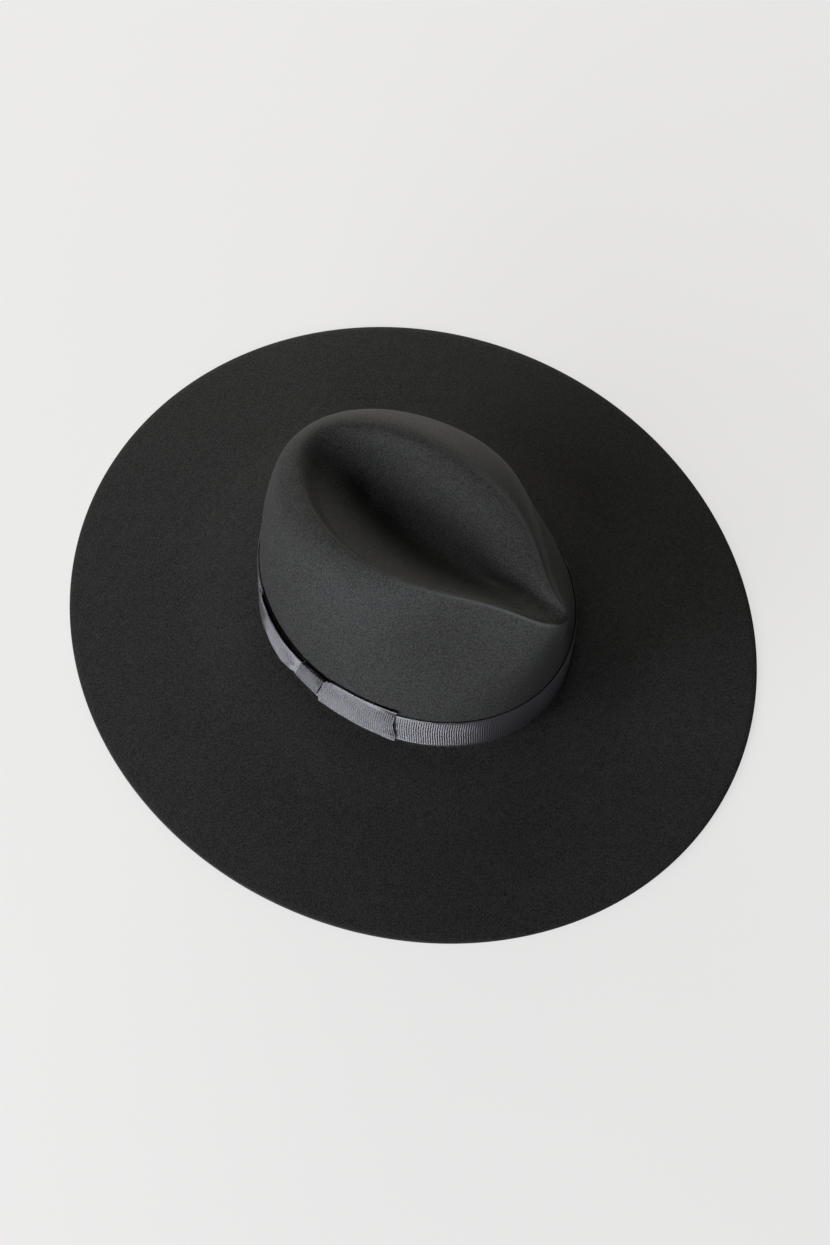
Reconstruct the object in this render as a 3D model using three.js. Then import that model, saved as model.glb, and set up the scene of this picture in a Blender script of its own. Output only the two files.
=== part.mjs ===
// A wide-brimmed felt hat with a pinched teardrop crown, a ribbon band and a flat ribbon bow.
// Lengths are in millimetres and angles in degrees.
// +Z is up, the wearer faces -Y, and +X is the wearer's left.
// The origin is the middle of the brim's underside, on the surface that the hat rests on.

import * as THREE from 'three';
import { mergeVertices } from 'three/addons/utils/BufferGeometryUtils.js';

// Felt body
const FELT_THICKNESS = 2;
const BRIM_HALF_WIDTH = 196.5;
const BRIM_HALF_LENGTH = 214;
// The brim is wider behind its middle and narrower before it by this share.
const BRIM_EGG = 0.012;
// The outer share of the brim lies flat, and the rest rises to meet the crown.
const BRIM_FLAT_SHARE = 0.5;
const BRIM_RISE = 2;
// The inside radius of the bend where the brim turns up into the crown.
const BREAK_RADIUS = 1.5;
const CROWN_FOOT_HEIGHT = FELT_THICKNESS + BRIM_RISE + BREAK_RADIUS;

// Ribbon
const RIBBON_THICKNESS = 0.8;
const BAND_TOP_HEIGHT = 36;
const GAP = 0.3;

// The crown's rings, from the foot of its wall up over the ridge and down to the valley of the dent.
// reach: how far the ring goes to the side, to the front and to the back of the origin.
// shift: how far the ring's sides are moved towards the wearer's left. The dent leans a little to the right.
// taper: how much the ring narrows towards the front, from 0 for an oval to a teardrop.
// height: the ring's height at the front, at the sides and at the back.
// pinchRight and pinchLeft: how far the front dent on the wearer's right or left presses the ring in,
// where, and over what span of angle.
const CROWN_RINGS = [
  {
    name: 'foot',
    reach: { side: 83, front: 101, back: 101 },
    shift: 0,
    taper: 0,
    height: { front: CROWN_FOOT_HEIGHT, side: CROWN_FOOT_HEIGHT, back: CROWN_FOOT_HEIGHT },
    pinchRight: { depth: 0, angle: 50, span: 25 },
    pinchLeft: { depth: 0, angle: 50, span: 25 },
  },
  {
    name: 'band top',
    reach: { side: 81.5, front: 98, back: 98.7 },
    shift: 0,
    taper: 0,
    height: { front: BAND_TOP_HEIGHT, side: BAND_TOP_HEIGHT, back: BAND_TOP_HEIGHT },
    pinchRight: { depth: 0, angle: 50, span: 25 },
    pinchLeft: { depth: 0, angle: 50, span: 25 },
  },
  {
    name: 'shoulder',
    reach: { side: 69.5, front: 95.5, back: 96.5 },
    shift: 0,
    taper: 0.05,
    height: { front: 87, side: 88.5, back: 71.5 },
    pinchRight: { depth: 19, angle: 47, span: 28 },
    pinchLeft: { depth: 20, angle: 46, span: 28 },
  },
  {
    name: 'brow',
    reach: { side: 56.5, front: 95.5, back: 90 },
    shift: -1,
    taper: 0.15,
    height: { front: 103, side: 107.5, back: 96.5 },
    pinchRight: { depth: 15.5, angle: 50, span: 28 },
    pinchLeft: { depth: 13, angle: 42, span: 26 },
  },
  {
    name: 'ridge',
    reach: { side: 41, front: 95, back: 81.5 },
    shift: -4,
    taper: 0.13,
    height: { front: 113.5, side: 117, back: 101 },
    pinchRight: { depth: 12.5, angle: 52, span: 30.5 },
    pinchLeft: { depth: 11, angle: 38, span: 24 },
  },
  {
    name: 'lip',
    reach: { side: 34.5, front: 82, back: 66 },
    shift: -7,
    taper: 0.21,
    height: { front: 112, side: 113, back: 97.5 },
    pinchRight: { depth: 9.5, angle: 51, span: 30.5 },
    pinchLeft: { depth: 8, angle: 40, span: 26.5 },
  },
  {
    name: 'slope',
    reach: { side: 21, front: 70, back: 50.5 },
    shift: -4,
    taper: 0.08,
    height: { front: 108, side: 102, back: 94 },
    pinchRight: { depth: 3, angle: 50, span: 28 },
    pinchLeft: { depth: 8.5, angle: 45, span: 28 },
  },
  {
    name: 'valley',
    reach: { side: 0, front: 62, back: 31 },
    shift: -1,
    taper: 0,
    height: { front: 104, side: 88, back: 87.5 },
    pinchRight: { depth: 0, angle: 50, span: 25 },
    pinchLeft: { depth: 0, angle: 50, span: 25 },
  },
];
// The pinch fades out this near the ring's foremost and hindmost points.
const PINCH_FADE = 6;

// The bow's ribbon, folded flat and doubled, by distance along the band from the knot's middle, to the back.
// low and high are its edges, up the band from the band's own lower edge. proudLow and proudHigh are how far
// it stands off the band at those edges.
const BOW_SECTIONS = [
  { along: -58, low: 1.6, high: 34.2, proudLow: 0.3, proudHigh: 0.3 },
  { along: -44, low: 2.5, high: 34.2, proudLow: 0.3, proudHigh: 0.3 },
  { along: -28, low: 3.2, high: 34.2, proudLow: 0.3, proudHigh: 0.5 },
  { along: -16, low: 3.4, high: 33, proudLow: 0.6, proudHigh: 0.8 },
  { along: -11.5, low: 4, high: 32, proudLow: 1.2, proudHigh: 1.2 },
  { along: -9.3, low: 13.5, high: 31.5, proudLow: 1.4, proudHigh: 1.4 },
  { along: 0, low: 13.8, high: 31.2, proudLow: 1.4, proudHigh: 1.4 },
  { along: 9.3, low: 13.5, high: 31.5, proudLow: 1.4, proudHigh: 1.4 },
  { along: 13.8, low: 9, high: 32, proudLow: 1.4, proudHigh: 1.2 },
  { along: 25, low: 2.2, high: 32.5, proudLow: 1.3, proudHigh: 1 },
  { along: 34, low: 0.6, high: 32.5, proudLow: 1.1, proudHigh: 0.9 },
  { along: 46, low: 0.5, high: 32.5, proudLow: 0.7, proudHigh: 0.6 },
  { along: 58, low: 0.5, high: 32.5, proudLow: 0.3, proudHigh: 0.3 },
];
const BOW_ANGLE = -95;
const BOW_RIBBON_THICKNESS = 1.7;
const KNOT_HALF_LENGTH = 9;
const KNOT_WRAP_THICKNESS = 0.8;

// Mesh fineness
const STATIONS = 72;
const BRIM_ROWS = 6;
const BREAK_ROWS = 3;
const WALL_ROWS = 3;
const ROWS_PER_CROWN_SPAN = [WALL_ROWS, 4, 3, 3, 2, 3, 3];
const BOW_STEPS_PER_SECTION = 2;
const BOW_ROWS = 4;

const FELT_COLOUR = 0x2b2b2e;
const RIBBON_COLOUR = 0x6d6b76;

const rad = THREE.MathUtils.degToRad;

// Height round a ring, where turn is the angle from the front and the three heights are met exactly.
function ringHeight(height, turn) {
  const forward = Math.cos(turn);
  const tilt = (height.front - height.back) / 2;
  const bow = (height.front + height.back) / 2 - height.side;
  return height.side + tilt * forward + bow * forward * forward;
}

// The point of one crown ring at an angle from the front, positive towards the wearer's left.
function ringPoint(ring, turn) {
  const backness = (1 - Math.cos(turn)) / 2;
  const teardrop = Math.pow(2 * backness, ring.taper / 2);
  const pinch = Math.sin(turn) > 0 ? ring.pinchLeft : ring.pinchRight;
  const offPinch = (Math.abs(turn) - rad(pinch.angle)) / rad(pinch.span);
  const sideways = Math.tanh(PINCH_FADE * Math.sin(turn));
  const pressedIn = sideways * pinch.depth * Math.exp(-offPinch * offPinch);
  const middle = (ring.reach.back - ring.reach.front) / 2;
  const halfLength = (ring.reach.back + ring.reach.front) / 2;
  return new THREE.Vector3(
    ring.reach.side * Math.sin(turn) * teardrop - pressedIn + ring.shift * Math.sin(turn) ** 2,
    middle - halfLength * Math.cos(turn),
    ringHeight(ring.height, turn),
  );
}

// The crown's profile at one angle: a smooth curve through the rings that ends level in the valley.
function crownProfile(turn) {
  const points = CROWN_RINGS.map((ring) => ringPoint(ring, turn));
  const slope = points[points.length - 2];
  const valley = points[points.length - 1];
  const across = (slope.x - valley.x) ** 2;
  const sidewaysShare = across / (across + (slope.y - valley.y) ** 2);
  const farSlope = valley.clone().multiplyScalar(2).sub(slope);
  farSlope.setZ(valley.z + (slope.z - valley.z) * sidewaysShare);
  return new THREE.CatmullRomCurve3([...points, farSlope], false, 'centripetal');
}

// A point of the crown's outer face. span counts the profile's spans up from the foot.
function crownPoint(turn, span) {
  const profile = crownProfile(turn);
  return profile.getPoint(span / (profile.points.length - 1));
}

// The brim's outline at an angle.
function brimEdgePoint(turn) {
  const egg = 1 - BRIM_EGG * Math.cos(turn);
  const side = BRIM_HALF_WIDTH * Math.sin(turn) * egg;
  return new THREE.Vector3(side, -BRIM_HALF_LENGTH * Math.cos(turn), FELT_THICKNESS);
}

// The felt's outer face at one angle, from the brim's edge over the break and up the crown to the valley.
function feltRow(turn) {
  const edge = brimEdgePoint(turn);
  const foot = ringPoint(CROWN_RINGS[0], turn);
  const outward = new THREE.Vector3(foot.x, foot.y, 0).normalize();
  const breakEdge = foot.clone().addScaledVector(outward, BREAK_RADIUS).setZ(FELT_THICKNESS);
  const points = [];
  for (let i = 0; i <= BRIM_ROWS; i += 1) {
    const share = i / BRIM_ROWS;
    const rise = THREE.MathUtils.smootherstep(share, BRIM_FLAT_SHARE, 1) * BRIM_RISE;
    const point = edge.clone().lerp(breakEdge, share);
    points.push(point.setZ(FELT_THICKNESS + rise));
  }
  for (let i = 1; i < BREAK_ROWS; i += 1) {
    const bend = (Math.PI / 2) * (i / BREAK_ROWS);
    const point = foot.clone().addScaledVector(outward, BREAK_RADIUS * (1 - Math.sin(bend)));
    points.push(point.setZ(CROWN_FOOT_HEIGHT - BREAK_RADIUS * Math.cos(bend)));
  }
  ROWS_PER_CROWN_SPAN.forEach((rows, span) => {
    for (let i = 0; i < rows; i += 1) {
      points.push(crownPoint(turn, span + i / rows));
    }
  });
  points.push(crownPoint(turn, ROWS_PER_CROWN_SPAN.length));
  return points;
}

// Two triangles for each cell of a grid of point numbers, with the diagonals mirrored left to right.
function gridTriangles(index, stations, rows, closed, flipped) {
  const triangles = [];
  const lastStation = closed ? stations : stations - 1;
  for (let i = 0; i < lastStation; i += 1) {
    const next = (i + 1) % stations;
    for (let j = 0; j < rows - 1; j += 1) {
      const corners = [index(i, j), index(next, j), index(next, j + 1), index(i, j + 1)];
      const turned = i < stations / 2 ? corners : [...corners.slice(1), corners[0]];
      const [a, b, c, d] = flipped ? turned.reverse() : turned;
      triangles.push(a, b, c, a, c, d);
    }
  }
  return triangles;
}

// A closed mesh from points and triangles, with shared points joined and empty triangles dropped.
function closedGeometry(points, triangles) {
  const loose = new THREE.BufferGeometry();
  const numbers = points.flatMap((point) => point.toArray());
  loose.setAttribute('position', new THREE.Float32BufferAttribute(numbers, 3));
  loose.setIndex(triangles);
  const merged = mergeVertices(loose, 1e-4);
  const whole = [];
  for (let i = 0; i < merged.index.count; i += 3) {
    const corners = [merged.index.getX(i), merged.index.getX(i + 1), merged.index.getX(i + 2)];
    if (new Set(corners).size === 3) whole.push(...corners);
  }
  merged.setIndex(whole);
  merged.computeVertexNormals();
  return merged;
}

function makeMesh(name, geometry, colour, roughness) {
  const material = new THREE.MeshStandardMaterial({ color: colour, roughness, metalness: 0 });
  const mesh = new THREE.Mesh(geometry, material);
  mesh.name = name;
  return mesh;
}

// The outer face of the felt as rows of points, with the mean face direction at each of them.
// The last row is the valley, where a point and the one across from it are one.
function feltFace() {
  const rows = [];
  for (let i = 0; i < STATIONS; i += 1) {
    rows.push(feltRow((i / STATIONS) * 2 * Math.PI - Math.PI));
  }
  const points = rows.flat();
  const rowLength = rows[0].length;
  const index = (i, j) => i * rowLength + j;
  const triangles = gridTriangles(index, STATIONS, rowLength, true, false);
  const summed = points.map(() => new THREE.Vector3());
  for (let k = 0; k < triangles.length; k += 3) {
    const corners = triangles.slice(k, k + 3);
    const [a, b, c] = corners.map((corner) => points[corner]);
    const facing = b.clone().sub(a).cross(c.clone().sub(a));
    corners.forEach((corner) => summed[corner].add(facing));
  }
  const normals = summed.map((sum) => sum.clone().normalize());
  for (let i = 0; i < STATIONS; i += 1) {
    const here = index(i, rowLength - 1);
    const twin = index((STATIONS - i) % STATIONS, rowLength - 1);
    normals[here] = summed[here].clone().add(summed[twin]).normalize();
  }
  return { points, normals, rowLength, index, triangles };
}

// Crown and brim are one piece of felt, so they are one hollow solid, open below.
function makeFeltBody(face) {
  const count = face.points.length;
  const moveIn = (point, i) => point.clone().addScaledVector(face.normals[i], -FELT_THICKNESS);
  const inner = face.points.map(moveIn);
  const innerIndex = (i, j) => count + face.index(i, j);
  const edgeIndex = (i, j) => (j === 0 ? innerIndex(i, 0) : face.index(i, 0));
  const triangles = [
    ...face.triangles,
    ...gridTriangles(innerIndex, STATIONS, face.rowLength, true, true),
    ...gridTriangles(edgeIndex, STATIONS, 2, true, false),
  ];
  return makeMesh('felt_body', closedGeometry([...face.points, ...inner], triangles), FELT_COLOUR, 0.95);
}

// The band is a ring of ribbon round the wall's lowest rows.
function makeHatBand(face) {
  const firstRow = BRIM_ROWS + BREAK_ROWS;
  const rows = WALL_ROWS + 1;
  const points = [];
  for (let i = 0; i < STATIONS; i += 1) {
    for (const reach of [GAP + RIBBON_THICKNESS, GAP]) {
      for (let j = 0; j < rows; j += 1) {
        const row = reach === GAP ? rows - 1 - j : j;
        const at = face.index(i, firstRow + row);
        points.push(face.points[at].clone().addScaledVector(face.normals[at], reach));
      }
    }
  }
  const loop = 2 * rows;
  const index = (i, j) => i * loop + (j % loop);
  const triangles = gridTriangles(index, STATIONS, loop + 1, true, false);
  return makeMesh('hat_band', closedGeometry(points, triangles), RIBBON_COLOUR, 0.6);
}

// The angle from the front that lies a distance along the crown's foot from the knot's middle.
function bowAngle(distance) {
  const foot = CROWN_RINGS[0].reach;
  const steps = 60;
  let turn = rad(BOW_ANGLE);
  for (let i = 0; i < steps; i += 1) {
    const pace = Math.hypot(foot.side * Math.cos(turn), foot.front * Math.sin(turn));
    turn -= distance / steps / pace;
  }
  return turn;
}

// The crown span that lies a height up from the band's lower edge, on the wall or a little above the band.
function wallSpan(up) {
  const bandWidth = BAND_TOP_HEIGHT - CROWN_FOOT_HEIGHT;
  const shoulder = CROWN_RINGS[2].height.side - BAND_TOP_HEIGHT;
  return up < bandWidth ? up / bandWidth : 1 + (up - bandWidth) / shoulder;
}

// A point beside the band: along from the knot's middle, up from the band's lower edge, proud of its face.
function besideBand(along, up, proud) {
  const turn = bowAngle(along);
  const span = wallSpan(up);
  const small = 0.01;
  const across = crownPoint(turn + small, span).sub(crownPoint(turn - small, span));
  const upward = crownPoint(turn, span + small).sub(crownPoint(turn, span));
  const outward = across.cross(upward).normalize();
  return crownPoint(turn, span).addScaledVector(outward, GAP + RIBBON_THICKNESS + proud);
}

// The bow's section at a distance along the band, found between the rows of its table by a smooth step.
function bowSectionAt(along) {
  const after = BOW_SECTIONS.findIndex((row) => row.along >= along);
  const next = BOW_SECTIONS[Math.max(after, 1)];
  const last = BOW_SECTIONS[Math.max(after, 1) - 1];
  const share = THREE.MathUtils.smoothstep(along, last.along, next.along);
  const section = {};
  for (const column of ['low', 'high', 'proudLow', 'proudHigh']) {
    section[column] = THREE.MathUtils.lerp(last[column], next[column], share);
  }
  return section;
}

// A closed solid from a list of loops of points, all of one length, with a flat cap on each end.
function loftedGeometry(loops) {
  const size = loops[0].length;
  const points = loops.flat();
  const index = (i, j) => i * size + (j % size);
  const triangles = gridTriangles(index, loops.length, size + 1, false, true);
  const last = (loops.length - 1) * size;
  const half = size / 2;
  for (let j = 0; j < half - 1; j += 1) {
    const [a, b, c, d] = [j, j + 1, size - 2 - j, size - 1 - j];
    triangles.push(a, c, b, a, d, c);
    triangles.push(last + a, last + b, last + c, last + a, last + c, last + d);
  }
  return closedGeometry(points, triangles);
}

// The bow's doubled ribbon runs from one wing, through the knot, to the other wing.
function makeBowRibbon() {
  const loops = [];
  for (let i = 0; i < BOW_SECTIONS.length - 1; i += 1) {
    const isLast = i === BOW_SECTIONS.length - 2;
    const steps = isLast ? BOW_STEPS_PER_SECTION + 1 : BOW_STEPS_PER_SECTION;
    for (let k = 0; k < steps; k += 1) {
      const share = k / BOW_STEPS_PER_SECTION;
      const along = THREE.MathUtils.lerp(BOW_SECTIONS[i].along, BOW_SECTIONS[i + 1].along, share);
      loops.push(bowLoop(along));
    }
  }
  return makeMesh('bow_ribbon', loftedGeometry(loops), RIBBON_COLOUR, 0.6);
}

// One section of the bow's ribbon: up its outer face, then down its back.
function bowLoop(along) {
  const section = bowSectionAt(along);
  const outer = [];
  const back = [];
  for (let j = 0; j <= BOW_ROWS; j += 1) {
    const share = j / BOW_ROWS;
    const up = THREE.MathUtils.lerp(section.low, section.high, share);
    const proud = THREE.MathUtils.lerp(section.proudLow, section.proudHigh, share);
    outer.push(besideBand(along, up, proud + BOW_RIBBON_THICKNESS));
    back.unshift(besideBand(along, up, proud));
  }
  return [...outer, ...back];
}

// The knot is a strip of ribbon wrapped once round the bow's pinched middle.
function makeBowKnot() {
  const steps = 4;
  const outerLoops = [];
  const innerLoops = [];
  for (let i = 0; i <= steps; i += 1) {
    const along = THREE.MathUtils.lerp(-KNOT_HALF_LENGTH, KNOT_HALF_LENGTH, i / steps);
    outerLoops.push(knotLoop(along, GAP + KNOT_WRAP_THICKNESS));
    innerLoops.push(knotLoop(along, GAP));
  }
  const size = outerLoops[0].length;
  const loops = [...outerLoops, ...innerLoops.reverse()];
  const index = (i, j) => (i % loops.length) * size + (j % size);
  const triangles = gridTriangles(index, loops.length, size + 1, true, true);
  return makeMesh('bow_knot', closedGeometry(loops.flat(), triangles), RIBBON_COLOUR, 0.6);
}

// One turn of the knot's strip round the bow's middle, with rounded corners, a clearance off its ribbon.
function knotLoop(along, clearance) {
  const middle = bowSectionAt(along);
  const low = middle.low - clearance;
  const high = middle.high + clearance;
  const front = middle.proudLow + BOW_RIBBON_THICKNESS + clearance;
  const back = middle.proudLow - clearance;
  const shoulder = 2 * clearance;
  return [
    besideBand(along, low + shoulder, front),
    besideBand(along, (low + high) / 2, front + clearance / 2),
    besideBand(along, high - shoulder, front),
    besideBand(along, high, front - clearance),
    besideBand(along, high, back),
    besideBand(along, (low + high) / 2, back),
    besideBand(along, low, back),
    besideBand(along, low, front - clearance),
  ];
}

const face = feltFace();
const hat = new THREE.Group();
hat.add(makeFeltBody(face), makeHatBand(face), makeBowRibbon(), makeBowKnot());

export default hat;
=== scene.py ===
"""A wide-brimmed wool felt hat with a pinched crown, a grosgrain band and a flat ribbon bow."""

import math

import bpy
import numpy as np
from mathutils import Matrix, Vector


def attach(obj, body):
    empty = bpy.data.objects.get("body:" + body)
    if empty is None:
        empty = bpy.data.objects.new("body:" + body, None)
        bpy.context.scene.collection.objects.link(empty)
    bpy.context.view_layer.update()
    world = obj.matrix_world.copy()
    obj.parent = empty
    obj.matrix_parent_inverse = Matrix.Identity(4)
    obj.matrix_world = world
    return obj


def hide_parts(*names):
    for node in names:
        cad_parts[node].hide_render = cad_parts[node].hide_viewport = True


bl_info = {
    "name": "Felt hat",
    "version": (1, 0, 0),
    "blender": (4, 5, 0),
    "location": "3D View > Sidebar > Felt hat",
    "description": "Makes a wide-brimmed felt hat with a ribbon band and bow",
    "category": "Add Mesh",
}

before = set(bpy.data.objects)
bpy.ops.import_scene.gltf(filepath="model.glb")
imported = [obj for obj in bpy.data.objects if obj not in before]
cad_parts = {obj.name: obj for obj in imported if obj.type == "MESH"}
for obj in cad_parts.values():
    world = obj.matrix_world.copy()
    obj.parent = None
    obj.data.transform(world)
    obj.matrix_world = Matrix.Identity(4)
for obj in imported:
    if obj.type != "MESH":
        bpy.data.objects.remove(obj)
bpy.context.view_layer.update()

# Lengths are in millimetres until a mesh is made, and the hat's front is towards -Y.
MM = 0.001

# The crown's rings from the foot of its wall up over the ridge and down into the dent. reach and height
# are the ring's size to the side, front and back. taper narrows it to the front. pinch presses its right
# side in, and pinch_left its left: how deep, at which angle from the front, and how wide.
CROWN_RINGS = (
    dict(
        name="foot", reach=(83, 101, 101), shift=0, taper=0, height=(5.5, 5.5, 5.5),
        pinch=(0, 50, 25), pinch_left=(0, 50, 25),
    ),
    dict(
        name="band top", reach=(81.5, 98, 98.7), shift=0, taper=0, height=(36, 36, 36),
        pinch=(0, 50, 25), pinch_left=(0, 50, 25),
    ),
    dict(
        name="shoulder", reach=(69.5, 95.5, 96.5), shift=0, taper=0.05, height=(88.5, 87, 71.5),
        pinch=(19, 47, 28), pinch_left=(20, 46, 28),
    ),
    dict(
        name="brow", reach=(56.5, 95.5, 90), shift=-1, taper=0.15, height=(107.5, 103, 96.5),
        pinch=(15.5, 50, 28), pinch_left=(13, 42, 26),
    ),
    dict(
        name="ridge", reach=(41, 95, 81.5), shift=-4, taper=0.13, height=(117, 113.5, 101),
        pinch=(12.5, 52, 30.5), pinch_left=(11, 38, 24),
    ),
    dict(
        name="lip", reach=(34.5, 82, 66), shift=-7, taper=0.21, height=(113, 112, 97.5),
        pinch=(9.5, 51, 30.5), pinch_left=(8, 40, 26.5),
    ),
    dict(
        name="slope", reach=(21, 70, 50.5), shift=-4, taper=0.08, height=(102, 108, 94),
        pinch=(3, 50, 28), pinch_left=(8.5, 45, 28),
    ),
    dict(
        name="valley", reach=(0, 62, 31), shift=-1, taper=0, height=(88, 104, 87.5),
        pinch=(0, 50, 25), pinch_left=(0, 50, 25),
    ),
)
SHOULDER_SPAN = 2
RIDGE_SPAN = 4
VALLEY_SPAN = len(CROWN_RINGS) - 1
FOOT_HEIGHT = CROWN_RINGS[0]["height"][0]
BAND_TOP = CROWN_RINGS[1]["height"][0]
BAND_WIDTH = BAND_TOP - FOOT_HEIGHT

# The brim is an egg-shaped oval. It is flat over a share of its width, then rises a little to the crown
# and bends up into its wall.
BRIM_HALF_WIDTH = 196.5
BRIM_HALF_LENGTH = 214
BRIM_EGG = 0.012
BRIM_FLAT_SHARE = 0.5
BRIM_RISE = 2
BREAK_RADIUS = 1.5

# The crown's top is creased along each side, between these angles from the front in degrees. The crease
# stands up by lift, leaning outwards, with a rounded top, and a painted highlight lightens the felt along a
# narrower strip.
CREASE = dict(begins=(4, 16), ends=(70, 115), lift=0.9, lean=0.35, rounding=0.6, reach=2, highlight=1.3)
# The felt is evened out round both ends of the dent.
DENT_ENDS = dict(rounds=60, share=0.7, reach=9)

# The felt's mesh: columns round the hat, and rows over the brim and between the crown's rings.
FELT_COLUMNS = 288
BRIM_ROWS = 36
CROWN_ROWS = (
    dict(first=0, last=1, rows=10),
    dict(first=1, last=SHOULDER_SPAN, rows=14),
    dict(first=SHOULDER_SPAN, last=RIDGE_SPAN, rows=26),
    dict(first=RIDGE_SPAN, last=VALLEY_SPAN, rows=34),
)
# Steps round a tight bend: the brim's break, its rolled edge and the ends of the bow.
BEND_STEPS = 6

# Places across a ribbon from its plain edge to where its ribs are full, which start at the one before.
SELVEDGE = (0, 0.4, 0.9, 1.4)
POINTS_PER_RIB = 6
GAP = 0.3

# The bow's ribbon by distance along the band from the knot's middle to the back: its edges up the band,
# and how far its back stands off the band at them.
BOW_SECTIONS = (
    dict(along=-58, low=0.6, high=34.5, proud_low=0.8, proud_high=0.8),
    dict(along=-44, low=1.4, high=34.5, proud_low=0.2, proud_high=0.2),
    dict(along=-28, low=2, high=34.5, proud_low=0.3, proud_high=0.3),
    dict(along=-16, low=2.4, high=33.8, proud_low=0.6, proud_high=0.5),
    dict(along=-10.5, low=3, high=33.4, proud_low=1.2, proud_high=1),
    dict(along=-9.2, low=13, high=32, proud_low=1.4, proud_high=1.4),
    dict(along=0, low=13.2, high=31.8, proud_low=1.4, proud_high=1.4),
    dict(along=9.2, low=13, high=32, proud_low=1.4, proud_high=1.4),
    dict(along=14, low=8.5, high=33, proud_low=1.6, proud_high=1.8),
    dict(along=25, low=1.8, high=33.5, proud_low=1.4, proud_high=1.9),
    dict(along=34, low=0.5, high=33.5, proud_low=1.1, proud_high=1.7),
    dict(along=46, low=0.5, high=33.5, proud_low=0.7, proud_high=1.2),
    dict(along=58, low=0.5, high=33.5, proud_low=0.3, proud_high=0.5),
)
BOW_WIDTH = BOW_SECTIONS[0]["high"] - BOW_SECTIONS[0]["low"]
BOW_ANGLE = -95
BOW_DEPTH = 1.3
# The bow's ribbon is thinner than the band's, and its stand-off begins outside the band's ribbon and gap.
BOW_RIBBON_SHARE = 0.8
BOW_OVER_BAND = 1.1
# Over the front wing the two layers are pressed together towards the top, and lean in to the felt there.
FRONT_WING = dict(along=(-8, -18), pressed=0.85, pressed_up=(24, 34), lean=0.9, lean_up=(30, 34))
# The front wing's back layer shows under the front one, less and less towards the wing's end.
BACK_LAYER = dict(drop=0.9, along=(-40, -14), ends=-5)
PLEATS = dict(depth=0.55, count=2.2, start=0.1, reach=6, under_knot=2)
RIPPLE = dict(depth=0.25, pace=0.33)
END_WAVE = dict(size=0.8, along=(-50, -58))

# The knot's strip: its edges up the band, how far its middle stands off, how much deeper it is than the
# bow, and how square its section is. A squareness of 2 is an oval.
KNOT = dict(half_length=8.2, low=12, high=33, proud=1.4, over_bow=0.9, squareness=5, columns=180)
# The knot and the ribbon next to it lie this far forward, and lean forward towards their top.
KNOT_LEAN = dict(shift=-2.5, slope=-0.28, middle=22.5, reach=15)

# Two stitches tack the bow down near its front end.
STITCHES = dict(along=(-57, -56), up=(10.5, 31), proud=0.1, spacing=1.3, thickness=0.5)


# ---------------------------------------------------------------- the hat's shape


def lerp(a, b, share):
    return a + (b - a) * share


def smooth_step(low, high, value):
    share = np.clip((value - low) / (high - low), 0, 1)
    return share * share * (3 - 2 * share)


def unit(vectors):
    return vectors / np.maximum(np.linalg.norm(vectors, axis=-1, keepdims=True), 1e-9)


def bend_steps(first, last):
    """Angles round a bend, without its two ends."""
    return np.linspace(first, last, BEND_STEPS + 1)[1:-1]


def ring_points(ring, turn):
    """Points of one crown ring at angles from the front, positive towards the wearer's left."""
    side, front, back = ring["reach"]
    high_side, high_front, high_back = ring["height"]
    left = np.sin(turn) > 0
    depth, angle, span = (np.where(left, a, b) for a, b in zip(ring["pinch_left"], ring["pinch"]))
    forward = np.cos(turn)
    teardrop = np.maximum(1 - forward, 1e-12) ** (ring["taper"] / 2)
    off_pinch = (np.degrees(np.abs(turn)) - angle) / span
    pressed_in = np.tanh(6 * np.sin(turn)) * depth * np.exp(-(off_pinch**2))
    x = side * np.sin(turn) * teardrop - pressed_in + ring["shift"] * np.sin(turn) ** 2
    y = (back - front) / 2 - (front + back) / 2 * forward
    tilt = (high_front - high_back) / 2
    bow = (high_front + high_back) / 2 - high_side
    z = high_side + tilt * forward + bow * forward**2
    return np.stack([x, y, z], axis=-1)


def crown_points(turn, span):
    """Points of the crown's outer face, on smooth curves up through its rings, which span counts from the foot."""
    turn, span = np.broadcast_arrays(np.asarray(turn, float), np.asarray(span, float))
    rings = [ring_points(ring, turn) for ring in CROWN_RINGS]
    slope, valley = rings[-2], rings[-1]
    # Past the valley the curve goes on up the dent's other side.
    across = (slope[..., :1] - valley[..., :1]) ** 2
    across = across / (across + (slope[..., 1:2] - valley[..., 1:2]) ** 2 + 1e-9)
    far_height = valley[..., 2:] + (slope - valley)[..., 2:] * across
    far_side = np.concatenate([2 * valley[..., :2] - slope[..., :2], far_height], axis=-1)
    rings.append(far_side)
    rings = np.stack([2 * rings[0] - rings[1], *rings, 2 * rings[-1] - rings[-2]])
    first = np.clip(np.floor(span).astype(int), 0, VALLEY_SPAN)
    share = (span - first)[..., None]
    p0, p1, p2, p3 = (np.take_along_axis(rings, (first + k)[None, ..., None], axis=0)[0] for k in range(4))
    # The square root of each chord as its length in the curve keeps the curve from overshooting.
    gaps = [np.sqrt(np.linalg.norm(b - a, axis=-1, keepdims=True)) for a, b in ((p0, p1), (p1, p2), (p2, p3))]
    before, within, after = (np.maximum(gap, 1e-3) for gap in gaps)
    start = (p1 - p0) / before - (p2 - p0) / (before + within) + (p2 - p1) / within
    end = (p2 - p1) / within - (p3 - p1) / (within + after) + (p3 - p2) / after
    start, end = start * within, end * within
    square, cube = share**2, share**3
    return (
        p1 * (2 * cube - 3 * square + 1)
        + start * (cube - 2 * square + share)
        + p2 * (3 * square - 2 * cube)
        + end * (cube - square)
    )


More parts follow.
